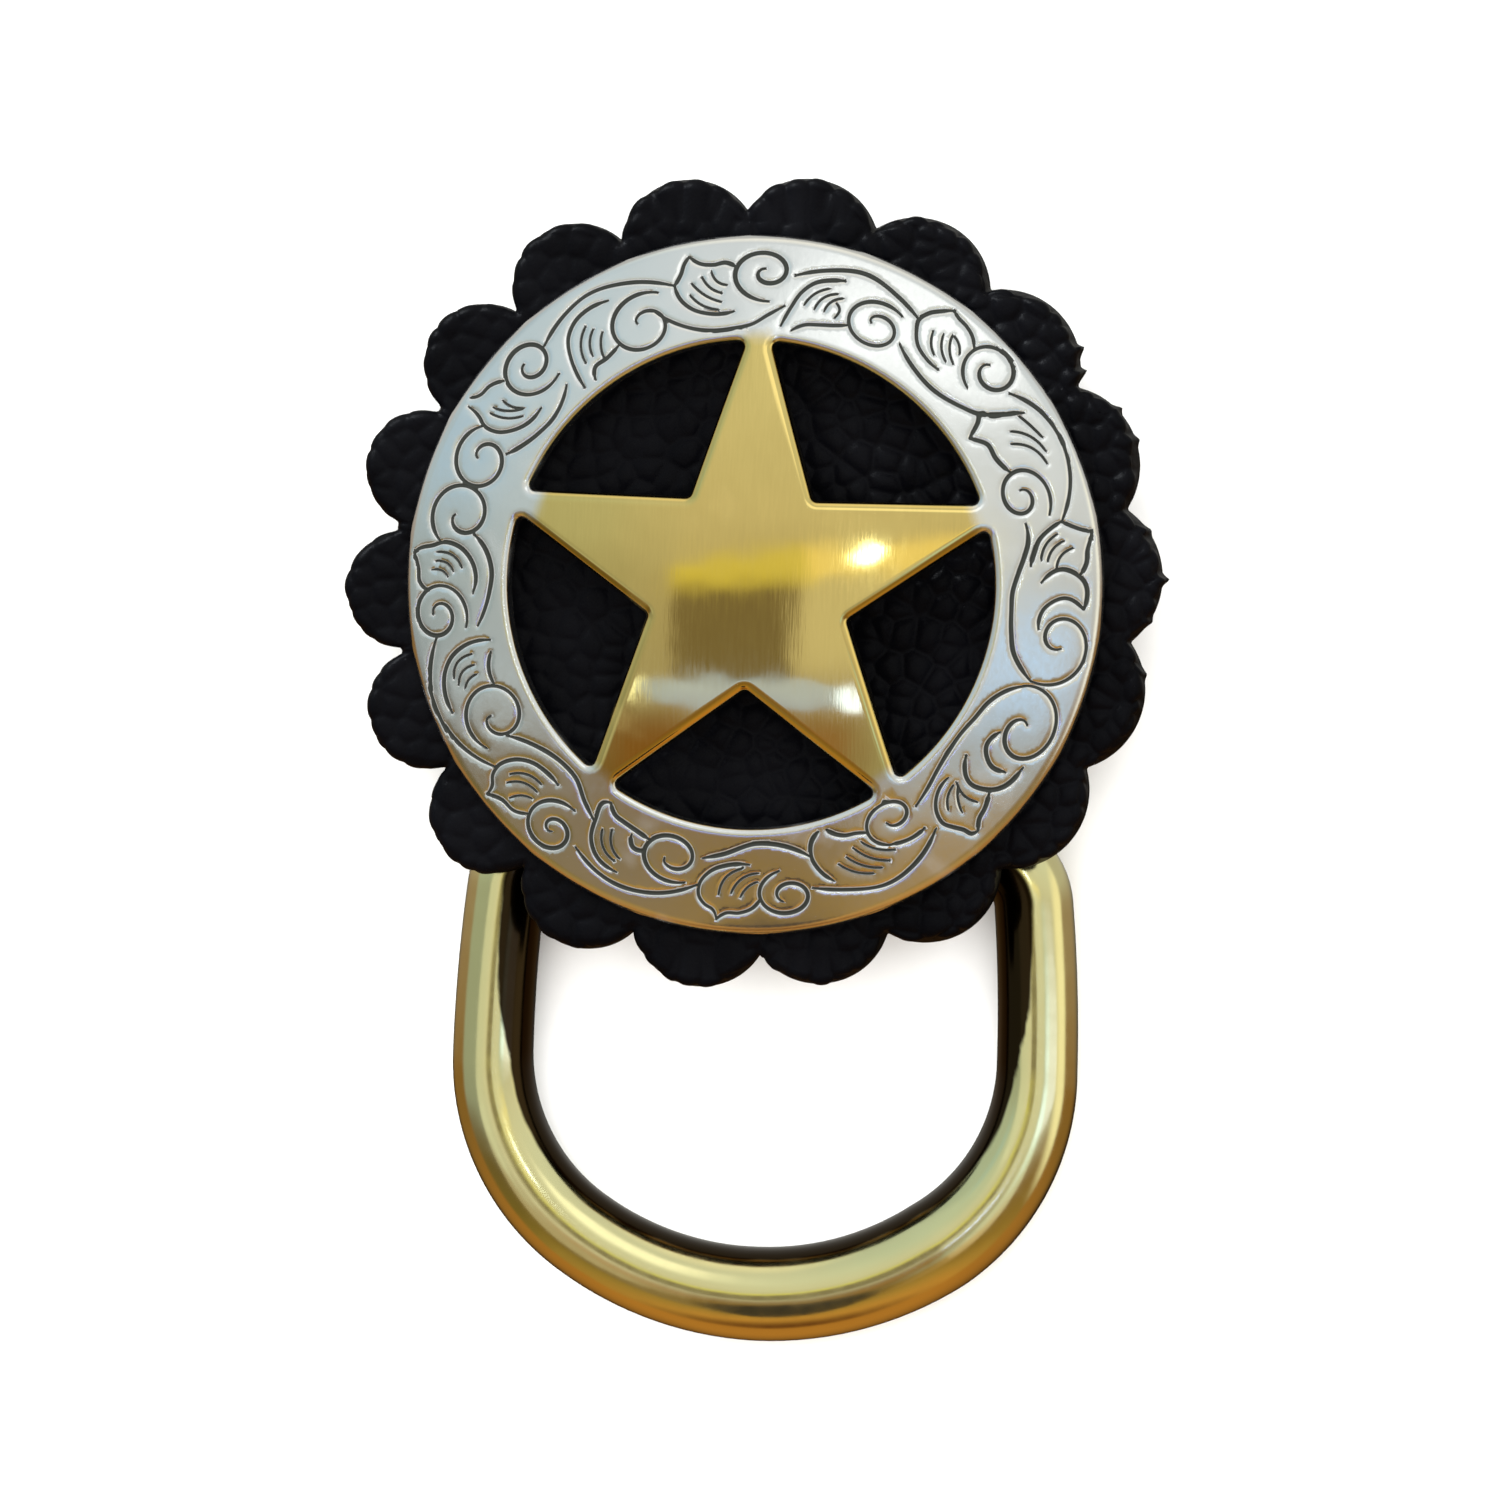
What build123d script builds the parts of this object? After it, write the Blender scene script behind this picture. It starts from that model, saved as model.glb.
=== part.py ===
"""Star concho on a scalloped leather rosette, with a dee held behind it by a folded clip.

The piece lies face up: +Z points out of its face, +Y to twelve o'clock, and the dee hangs
towards -Y. The origin is on the concho's axis, in the plane that the back rests on.
All lengths are in millimetres and all angles in degrees.
"""

from build123d import *
from math import asin, cos, degrees, radians, sin, sqrt
import os

# Concho: a pierced dome with a star in its opening and a post behind
concho_diameter = 38.1
opening_diameter = 26.4
dome_rise = 3.6
rim_height = 1.2
casting_wall = 1.8
rim_round = 0.45
opening_round = 0.4
gap_corner_round = 0.3
star_points = 5
star_inner_radius = 5.72
arm_width_at_ring = 1.42
post_diameter = 5.0

# Leather rosette
rosette_thickness = 3.0
scallops = 18
scallop_radius = 3.74
scallop_circle_radius = 18.84
notch_round = 0.45
leather_edge_round = 0.7
rosette_turn = 2.9
rosette_shift_x = -0.2
rosette_shift_y = 0.1

# Dee: the centre line of its wire, and the wire's thickness along it
bar_offset = 14.2
bar_to_widest = 12.1
dee_half_width = 15.1
bow_depth = 12.9
corner_radius = 3.2
leg_radius = 90.0
bow_side_inset = 1.0
bar_diameter = 4.3
leg_diameter = 4.47
bow_left_diameter = 4.9
bow_right_diameter = 5.3
bow_bottom_diameter = 5.2
dee_side_shift = 0.8

# Folded clip round the dee's bar
clip_sheet = 0.8
clip_reach = 8.0
clip_corner_round = 4.0

# Back screw
head_diameter = 11.0
head_thickness = 1.6
head_edge_round = 0.4
notch_width = 1.2
notch_length = 3.0
notch_depth = 0.8
shank_diameter = 3.0
shank_length = 6.0

# Clearances
bar_clearance = 0.1
clip_side_play = 0.42
post_clearance = 0.3
thread_clearance = 0.1
bore_end_clearance = 0.6
seat_gap = 0.05
rest_gap = 0.02

# Heights in the stack, from the plane that the back rests on
loop_radius = bar_diameter / 2 + bar_clearance + clip_sheet
bar_z = loop_radius
clip_top = bar_z + loop_radius
leaf_bottom = clip_top - 2 * clip_sheet
rosette_bottom = clip_top + seat_gap
rosette_top = rosette_bottom + rosette_thickness
rim_bottom = rosette_top + seat_gap
rim_top = rim_bottom + rim_height
apex_z = rim_top + dome_rise
post_bottom = head_thickness + seat_gap

# The face is part of a sphere through the rim's upper edge and the apex
rim_radius = concho_diameter / 2
opening_radius = opening_diameter / 2
dome_radius = (rim_radius**2 + dome_rise**2) / (2 * dome_rise)
dome_centre_z = apex_z - dome_radius
hollow_radius = dome_radius - casting_wall
hollow_rim_radius = sqrt(hollow_radius**2 - (rim_bottom - dome_centre_z) ** 2)

# An arm's straight edges run from its inner corners through its width at the ring, and meet past it
inner_corner_x = star_inner_radius * sin(radians(180 / star_points))
inner_corner_y = star_inner_radius * cos(radians(180 / star_points))
arm_narrowing = (inner_corner_x - arm_width_at_ring / 2) / (opening_radius - inner_corner_y)
star_reach = opening_radius + arm_width_at_ring / 2 / arm_narrowing


def point_at(radius, clock_angle):
    """The point at a radius, at an angle clockwise from twelve o'clock."""
    return (radius * sin(radians(clock_angle)), radius * cos(radians(clock_angle)))


# The casting: a domed shell, pierced round the star
with BuildPart() as concho:
    with BuildSketch(Plane.XZ):
        with BuildLine():
            half_way = rim_radius / 2
            outer_half_z = dome_centre_z + sqrt(dome_radius**2 - half_way**2)
            inner_half_z = dome_centre_z + sqrt(hollow_radius**2 - half_way**2)
            Line((0, apex_z - casting_wall), (0, apex_z))
            ThreePointArc((0, apex_z), (half_way, outer_half_z), (rim_radius, rim_top))
            Line((rim_radius, rim_top), (rim_radius, rim_bottom))
            Line((rim_radius, rim_bottom), (hollow_rim_radius, rim_bottom))
            ThreePointArc(
                (hollow_rim_radius, rim_bottom), (half_way, inner_half_z), (0, apex_z - casting_wall)
            )
        make_face()
    revolve(axis=Axis.Z)
    widest_circles = concho.edges().group_by(SortBy.LENGTH)[-1]
    fillet(widest_circles.sort_by(Axis.Z)[-1], rim_round)

    with BuildSketch(Plane.XY.offset(rim_bottom)) as gaps:
        Circle(opening_radius)
        with BuildLine():
            corners = []
            for point in range(star_points):
                arm_angle = point * 360 / star_points
                corners.append(point_at(star_reach, arm_angle))
                corners.append(point_at(star_inner_radius, arm_angle + 180 / star_points))
            Polyline(*corners, close=True)
        make_face(mode=Mode.SUBTRACT)
        fillet(gaps.vertices(), gap_corner_round)
    extrude(amount=apex_z - rim_bottom, mode=Mode.SUBTRACT)
    gap_walls = concho.faces(Select.LAST).filter_by(GeomType.SPHERE, reverse=True)
    upper_edges = [wall.edges().sort_by(Axis.Z)[-1] for wall in gap_walls]
    fillet(upper_edges, opening_round)

    post_height = apex_z - casting_wall / 2 - post_bottom
    with BuildSketch(Plane.XY.offset(post_bottom)):
        Circle(post_diameter / 2)
    extrude(amount=post_height)
    with BuildSketch(Plane.XY.offset(post_bottom)):
        Circle(shank_diameter / 2 + thread_clearance)
    extrude(amount=shank_length + bore_end_clearance, mode=Mode.SUBTRACT)

# The leather: a disc edged with scallops
rosette_plane = Plane((rosette_shift_x, rosette_shift_y, rosette_bottom)).rotated((0, 0, rosette_turn))
with BuildPart() as leather_rosette:
    with BuildSketch(rosette_plane) as outline:
        Circle(scallop_circle_radius)
        with PolarLocations(scallop_circle_radius, scallops, start_angle=90 + 180 / scallops):
            Circle(scallop_radius)
        fillet(outline.vertices(), notch_round)
    extrude(amount=rosette_thickness)
    broad_faces = leather_rosette.faces().filter_by(Axis.Z)
    fillet(broad_faces.edges(), leather_edge_round)
    with BuildSketch(Plane.XY.offset(rosette_bottom)):
        Circle(post_diameter / 2 + post_clearance)
    extrude(amount=rosette_thickness, mode=Mode.SUBTRACT)

# The dee's plane tips down about the bar until the bow meets the surface that the back rests on
bow_bottom_reach = bar_to_widest + bow_depth
dee_droop = degrees(asin((bar_z - bow_bottom_diameter / 2 - rest_gap) / bow_bottom_reach))
dee_plane = Plane(
    origin=(dee_side_shift, -bar_offset, bar_z),
    x_dir=(1, 0, 0),
    z_dir=(0, -sin(radians(dee_droop)), cos(radians(dee_droop))),
)

# Centres and meeting points of the arcs in the right half of the dee, all tangent. The bow's
# side arcs are a little tighter than the bow is deep, and its bottom arc is wider
bow_side_radius = bow_depth - bow_side_inset
leg_centre_x = dee_half_width - leg_radius
corner_rise = bar_to_widest - corner_radius
corner_to_leg = leg_radius - corner_radius
bar_half_length = leg_centre_x + sqrt(corner_to_leg**2 - corner_rise**2)
leg_start_x = leg_centre_x + (bar_half_length - leg_centre_x) * leg_radius / corner_to_leg
leg_start_y = -bar_to_widest + corner_rise * leg_radius / corner_to_leg
side_centre_x = dee_half_width - bow_side_radius
bow_bottom_radius = (side_centre_x**2 + bow_depth**2 - bow_side_radius**2) / (
    2 * bow_side_inset
)
bow_centre_y = -bow_bottom_reach + bow_bottom_radius
centre_gap = bow_bottom_radius - bow_side_radius
bow_join_x = side_centre_x * bow_bottom_radius / centre_gap
bow_join_y = bow_centre_y + (-bar_to_widest - bow_centre_y) * bow_bottom_radius / centre_gap

# The dee: each half is one round wire whose thickness changes along it
with BuildPart() as dee:
    for side, bow_diameter in ((-1, bow_left_diameter), (1, bow_right_diameter)):
        with BuildLine(dee_plane) as wire_path:
            bar = Line((0, 0), (side * bar_half_length, 0))
            corner = TangentArc(bar @ 1, (side * leg_start_x, leg_start_y), tangent=bar % 1)
            leg = TangentArc(corner @ 1, (side * dee_half_width, -bar_to_widest), tangent=corner % 1)
            bow_side = TangentArc(leg @ 1, (side * bow_join_x, bow_join_y), tangent=leg % 1)
            bow_end = TangentArc(bow_side @ 1, (0, -bow_bottom_reach), tangent=bow_side % 1)
        sections = (
            (bar @ 0, bar % 0, bar_diameter),
            (corner @ 0, corner % 0, bar_diameter),
            (leg @ 1, leg % 1, leg_diameter),
            (bow_side @ 1, bow_side % 1, bow_diameter),
            (bow_end @ 1, bow_end % 1, bow_bottom_diameter),
        )
        for place, direction, diameter in sections:
            with BuildSketch(Plane(origin=place, z_dir=direction)):
                Circle(diameter / 2)
        sweep(path=wire_path.wire(), multisection=True)

# The clip: a strip folded round the bar, its two leaves closed under the rosette. It fills the
# bar's straight stretch, apart from the dee's play to either side
clip_width = 2 * (bar_half_length - dee_side_shift - clip_side_play)
with BuildPart() as dee_clip:
    with BuildSketch(Plane.YZ):
        leaf_length = bar_offset + clip_reach
        with Locations((-bar_offset, bar_z)):
            Circle(loop_radius)
        with Locations((-bar_offset, leaf_bottom)):
            Rectangle(leaf_length, 2 * clip_sheet, align=(Align.MIN, Align.MIN))
        with Locations((-bar_offset, bar_z)):
            Circle(loop_radius - clip_sheet, mode=Mode.SUBTRACT)
    extrude(amount=clip_width / 2, both=True)
    end_corners = dee_clip.edges().filter_by(Axis.Z).group_by(Axis.Y)[-1]
    fillet(end_corners, clip_corner_round)
    with BuildSketch(Plane.XY.offset(leaf_bottom)):
        Circle(post_diameter / 2 + post_clearance)
    extrude(amount=2 * clip_sheet, mode=Mode.SUBTRACT)

# The screw: a flat head that the back rests on, notched at both sides for a forked driver, and
# a shank inside the post
with BuildPart() as back_screw:
    with BuildSketch():
        Circle(head_diameter / 2)
    extrude(amount=head_thickness)
    fillet(back_screw.edges().group_by(Axis.Z)[0], head_edge_round)
    with BuildSketch():
        with PolarLocations(head_diameter / 2 - notch_length, 2):
            Rectangle(notch_length, notch_width, align=(Align.MIN, Align.CENTER))
    extrude(amount=notch_depth, mode=Mode.SUBTRACT)
    with BuildSketch(Plane.XY.offset(head_thickness)):
        Circle(shank_diameter / 2)
    extrude(amount=seat_gap + shank_length)

concho.part.label = "concho"
leather_rosette.part.label = "leather_rosette"
dee.part.label = "dee"
dee_clip.part.label = "dee_clip"
back_screw.part.label = "back_screw"

os.makedirs("parts", exist_ok=True)
export_step(concho.part, "parts/concho.step")
export_step(leather_rosette.part, "parts/leather_rosette.step")
export_step(dee.part, "parts/dee.step")
export_step(dee_clip.part, "parts/dee_clip.step")
export_step(back_screw.part, "parts/back_screw.step")
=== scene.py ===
import bmesh
import bpy
import numpy as np
from math import atan, ceil, cos, hypot, pi, radians, sin, sqrt, tan
from mathutils import Matrix, Vector
from mathutils.geometry import delaunay_2d_cdt
from mathutils.kdtree import KDTree


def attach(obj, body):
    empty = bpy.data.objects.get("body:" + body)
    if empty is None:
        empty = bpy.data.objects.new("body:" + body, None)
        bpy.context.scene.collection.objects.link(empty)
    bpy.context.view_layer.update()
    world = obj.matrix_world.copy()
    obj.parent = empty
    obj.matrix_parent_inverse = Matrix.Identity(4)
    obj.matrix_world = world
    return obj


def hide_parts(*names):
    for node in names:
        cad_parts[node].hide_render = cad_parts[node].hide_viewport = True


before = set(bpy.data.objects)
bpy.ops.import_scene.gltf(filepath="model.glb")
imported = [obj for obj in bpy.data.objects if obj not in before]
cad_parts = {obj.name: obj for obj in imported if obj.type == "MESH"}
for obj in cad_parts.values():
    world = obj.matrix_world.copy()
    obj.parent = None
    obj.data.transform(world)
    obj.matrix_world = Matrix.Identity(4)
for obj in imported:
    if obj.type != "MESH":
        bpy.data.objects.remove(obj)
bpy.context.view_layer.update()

# The concho is one casting of white metal: a domed ring with a star in its pierced middle and a post
# behind for the screw. It is plated silver with a satin finish, and the star is masked off and plated
# gold. The vine is cut round the ring, filled with black oxide and wiped, so only the cuts stay dark.

# Lengths are in millimetres until a finished mesh is brought to metres, and angles in degrees
rim_radius = 19.05
rim_top = 10.4
rim_bottom = 9.2
dome_rise = 3.6
casting_wall = 1.8
rim_round = 0.45
opening_radius = 13.2
opening_round = 0.5
gap_corner_round = 0.3
star_points = 5
star_pitch = 72
star_inner_radius = 5.72
arm_width_at_ring = 1.42
post_radius = 2.5
post_bore_radius = 1.6
post_bottom = 1.65
post_bore_depth = 6.6
post_bevel = 0.2
bore_bevel = 0.25
post_overlap = 0.6

half_pitch = radians(star_pitch / 2)
dome_radius = (rim_radius**2 + dome_rise**2) / (2 * dome_rise)
dome_centre_z = rim_top + dome_rise - dome_radius
hollow_radius = dome_radius - casting_wall
hollow_rim_radius = sqrt(hollow_radius**2 - (rim_bottom - dome_centre_z) ** 2)
inner_corner_x = star_inner_radius * sin(half_pitch)
inner_corner_y = star_inner_radius * cos(half_pitch)
arm_narrowing = (inner_corner_x - arm_width_at_ring / 2) / (opening_radius - inner_corner_y)


def clock_points(table):
    """Points from (clock angle, radius) pairs, the angle clockwise from twelve o'clock in degrees."""
    clock, radius = np.radians([row[0] for row in table]), np.array([row[1] for row in table])
    return np.stack((radius * np.sin(clock), radius * np.cos(clock)), axis=1)


def clock_and_radius(points):
    """The clock angle, in degrees, and the radius of each point."""
    return np.degrees(np.arctan2(points[:, 0], points[:, 1])), np.hypot(points[:, 0], points[:, 1])


def length_along(line):
    """The distance along a line, at each of its points."""
    return np.concatenate(([0], np.cumsum(np.hypot(*np.diff(line, axis=0).T))))


def even_steps(line, step):
    """The same line with points at even steps along it."""
    along = length_along(line)
    stations = np.linspace(0, along[-1], max(2, ceil(along[-1] / step) + 1))
    return np.stack([np.interp(stations, along, line[:, axis]) for axis in (0, 1)], axis=1)


def smooth_line(knots, step, points_between=16):
    """A smooth curve through a few points, at even steps."""
    if len(knots) == 2:
        return even_steps(knots, step)
    along = length_along(knots)
    slopes = np.gradient(knots, along, axis=0, edge_order=2)
    share = np.linspace(0, 1, points_between, endpoint=False)[:, None]
    pieces = []
    for first, last, leaving, arriving, span in zip(knots, knots[1:], slopes, slopes[1:], np.diff(along)):
        pieces.append(
            first * (1 + 2 * share) * (1 - share) ** 2 + last * share**2 * (3 - 2 * share)
            + span * share * (1 - share) * (leaving * (1 - share) - arriving * share)
        )
    return even_steps(np.concatenate(pieces + [knots[-1:]]), step)


def fill_flat(mesh, outline, holes, rows, lines, loose):
    """Covers the flat ground inside an outline, and outside its holes, with triangles.

    They follow the closed rows of points, the open lines and the loose points given. Returns the
    vertices in the order of the points.
    """
    closed = [outline] + holes + rows
    points = np.concatenate(closed + lines + [loose])
    edges = []
    first = 0
    for row in closed:
        edges += [(first + i, first + (i + 1) % len(row)) for i in range(len(row))]
        first += len(row)
    for line in lines:
        edges += [(first + i, first + i + 1) for i in range(len(line) - 1)]
        first += len(line)
    ground = [list(range(len(outline)))]
    inside_only, closeness = 1, 1e-6
    flat, _, corners, origins, _, _ = delaunay_2d_cdt(
        [Vector(point) for point in points], edges, ground, inside_only, closeness
    )
    hole_points = range(len(outline), len(outline) + sum(len(row) for row in holes))
    on_hole = [any(i in hole_points for i in origin) for origin in origins]
    verts = [mesh.verts.new((point.x, point.y, 0)) for point in flat]
    for face in corners:
        if not all(on_hole[i] for i in face):
            mesh.faces.new([verts[i] for i in face])
    placed = [None] * len(points)
    for vert, origin in zip(verts, origins):
        for i in origin:
            placed[i] = vert
    return placed


def search_tree(points):
    """A tree that finds the nearest of many points on flat ground."""
    search = KDTree(len(points))
    for i, (x, y) in enumerate(points[:, :2]):
        search.insert((x, y, 0), i)
    search.balance()
    return search


# Each scroll of the vine: clock angle and radius of its eye, the radii where it starts and ends, the
# bearing where it starts, its sweep, how fast it opens, and its width compared with its height
vine_scrolls = (
    (0.8, 16.97, 0.22, 1.60, 117, 518, 1.11, 1.29),
    (23.9, 15.51, 0.29, 1.38, 154, -458, 0.60, 1.30),
    (46.7, 17.38, 0.40, 1.55, 161, 461, 0.82, 1.13),
    (70.3, 15.44, 0.33, 1.57, 171, -486, 1.15, 1.20),
    (98.4, 16.87, 0.45, 2.40, 25, -410, 1.72, 1.12),
    (116.4, 16.72, 0.33, 2.04, 177, 395, 0.99, 1.27),
    (146.8, 14.80, 0.31, 1.35, 24, 399, 1.15, 1.35),
    (171.4, 16.96, 0.42, 1.37, 49, -488, 1.25, 1.32),
    (194.4, 15.36, 0.40, 1.45, 41, 443, 0.70, 1.25),
    (217.5, 17.22, 0.14, 1.61, 103, -561, 1.06, 1.15),
    (241.1, 15.64, 0.35, 1.84, 75, 418, 0.52, 1.06),
    (262.6, 17.24, 0.33, 1.66, 64, -539, 0.91, 1.13),
    (281.7, 16.26, 0.46, 1.84, 107, 405, 0.69, 1.06),
    (292.9, 16.18, 0.37, 1.69, 90, -421, 0.67, 1.12),
    (312.6, 17.03, 0.35, 1.65, 129, 524, 0.95, 1.16),
    (335.5, 15.26, 0.37, 1.79, 136, -446, 0.72, 1.16),
)
# The stems, the leaves' edges and their veins, each a curve through (clock angle, radius) pairs
vine_stems = (
    ((6.3, 16.96), (11.6, 17.53), (18.1, 17.94), (25.3, 17.49), (30.3, 17.0)),
    ((29.9, 15.31), (36.2, 14.60), (40.3, 14.45), (48.3, 14.96), (51.5, 15.46), (53.5, 16.20),
     (55.8, 17.39)),
    ((51.8, 17.43), (56.8, 18.22), (63.3, 18.52), (70.3, 18.14), (76.4, 17.21)),
    ((107.2, 16.06), (105.5, 15.40), (102.6, 14.72), (98.6, 14.38), (93.9, 14.22), (89.9, 14.22),
     (85.8, 14.53), (82.3, 14.92), (79.5, 15.21), (75.8, 15.26)),
    ((108.5, 15.79), (110.7, 15.0), (114.2, 14.41), (118.8, 14.15), (123.5, 13.97), (128.1, 14.03),
     (132.8, 14.27), (136.9, 14.61), (141.0, 14.94)),
    ((142.9, 16.22), (145.6, 16.26), (149.6, 16.01)),
    ((141.2, 16.62), (145.6, 17.30), (153.4, 17.83), (161.5, 17.28), (166.5, 16.81)),
    ((165.9, 15.07), (171.7, 14.21), (176.4, 14.04), (184.3, 14.73), (188.1, 15.07)),
    ((188.3, 16.54), (195.3, 17.56), (203.0, 17.93), (212.0, 17.26)),
    ((212.1, 15.40), (215.6, 14.89), (220.6, 14.17), (224.2, 14.11), (231.9, 14.73), (236.6, 15.71)),
    ((232.7, 17.17), (239.3, 18.23), (248.1, 18.66), (255.7, 17.99), (258.1, 17.61)),
    ((259.6, 15.09), (266.9, 14.25), (270.7, 14.15), (277.2, 14.98), (278.1, 15.30)),
    ((296.2, 15.09), (304.0, 14.16), (307.5, 14.05), (315.2, 14.78)),
    ((317.0, 17.27), (323.8, 17.99), (327.9, 18.19), (335.6, 17.77), (343.4, 16.78)),
    ((338.5, 15.72), (341.2, 14.91), (345.6, 14.20), (349.7, 13.91), (354.5, 13.92), (358.5, 14.13),
     (1.7, 14.64), (4.9, 15.20)),
    ((92.5, 18.05), (87.5, 18.01), (85.3, 16.88), (87.5, 15.80)),
    ((92.5, 18.05), (90.6, 17.07), (93.1, 15.90), (96.8, 15.76)),
    ((124.6, 17.04), (125.2, 16.45), (122.4, 15.47), (118.8, 15.68)),
    ((122.5, 17.73), (128.4, 17.18), (130.3, 16.05), (126.7, 14.93)),
    ((200.3, 15.62), (202.4, 15.67), (203.7, 15.16)),
)
leaf_edges = (
    ((4.8, 14.15), (6.4, 15.25), (7.7, 16.02), (10.0, 16.72), (12.9, 17.07), (15.0, 17.22)),
    ((7.3, 13.95), (9.8, 14.36), (12.6, 14.53), (15.8, 14.73), (18.5, 14.98)),
    ((41.3, 17.61), (40.0, 17.95), (37.9, 18.20), (35.9, 18.29), (34.5, 18.46)),
    ((34.5, 18.46), (32.8, 18.03), (31.3, 17.59), (30.4, 17.0), (31.2, 16.40), (33.0, 15.81),
     (35.5, 15.52), (38.9, 15.43)),
    ((55.8, 17.39), (54.4, 16.65), (53.3, 15.96), (51.5, 15.51), (52.8, 15.07), (53.6, 14.68),
     (54.5, 14.24)),
    ((54.5, 14.24), (55.9, 14.59), (57.4, 14.89), (61.0, 14.94), (64.6, 15.29)),
    ((76.6, 17.16), (78.0, 17.75), (78.8, 18.24), (79.2, 18.68)),
    ((79.2, 18.68), (80.4, 18.54), (82.4, 18.29), (84.4, 18.19), (86.3, 17.85)),
    ((76.6, 17.16), (77.6, 16.48), (79.4, 15.80), (81.8, 15.46), (84.2, 15.21)),
    ((129.6, 17.18), (131.9, 17.52), (134.0, 17.72), (135.4, 18.11)),
    ((135.4, 18.11), (136.7, 18.01), (137.2, 17.61), (138.3, 17.12), (139.3, 16.62), (138.9, 15.93),
     (136.7, 15.25), (132.6, 14.96)),
    ((152.9, 14.86), (154.9, 14.65), (157.7, 14.50), (159.5, 14.24), (160.9, 13.89)),
    ((162.7, 16.64), (164.4, 16.07), (165.6, 15.07), (164.9, 14.38), (162.7, 13.88)),
    ((176.6, 17.06), (178.0, 17.56), (180.5, 17.87), (182.8, 17.92), (184.4, 18.32)),
    ((184.4, 18.32), (185.1, 17.81), (186.7, 17.56), (187.9, 17.15), (188.1, 16.54), (186.1, 15.68),
     (183.0, 15.29), (178.7, 15.19)),
    ((200.1, 14.90), (203.1, 14.75), (206.1, 14.64), (208.6, 14.54), (210.8, 14.07)),
    ((210.8, 14.07), (212.2, 14.28), (211.8, 15.30), (210.6, 16.33), (208.3, 17.0), (203.8, 17.31)),
    ((222.6, 17.48), (224.7, 17.95), (227.7, 18.06), (230.0, 18.53)),
    ((230.0, 18.53), (230.5, 18.01), (232.0, 17.59), (232.7, 17.07), (231.9, 16.13), (229.2, 15.40),
     (226.0, 15.14), (222.5, 15.14)),
    ((245.2, 17.86), (249.3, 17.82), (252.2, 17.50), (254.7, 16.87), (256.1, 16.08), (256.2, 14.57)),
    ((247.0, 15.04), (250.4, 15.04), (253.6, 14.67)),
    ((267.0, 17.77), (268.6, 18.25), (271.0, 18.36), (273.4, 18.67)),
    ((273.4, 18.67), (274.3, 18.36), (275.1, 17.61), (275.9, 17.08), (275.5, 16.14), (273.3, 15.40),
     (269.6, 15.04), (266.6, 15.19)),
    ((300.0, 18.28), (299.5, 17.49), (298.7, 17.07), (298.9, 16.23), (300.9, 15.50), (303.7, 15.04),
     (307.8, 14.94)),
    ((301.4, 18.54), (302.7, 18.17), (305.1, 18.01), (307.3, 17.55)),
    ((317.9, 14.06), (318.6, 15.09), (319.3, 15.71), (321.3, 16.75), (323.8, 17.26), (327.2, 17.47),
     (330.7, 17.36)),
    ((321.0, 14.06), (322.3, 14.53), (325.4, 14.58), (328.8, 14.83)),
    ((343.5, 16.79), (345.2, 17.36), (346.0, 17.82), (347.1, 18.17)),
    ((347.1, 18.17), (348.6, 17.71), (351.1, 17.51), (353.4, 17.56), (355.2, 17.26)),
    ((343.5, 16.79), (343.9, 16.03), (345.8, 15.32), (349.3, 14.87), (354.3, 14.83)),
)
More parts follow.
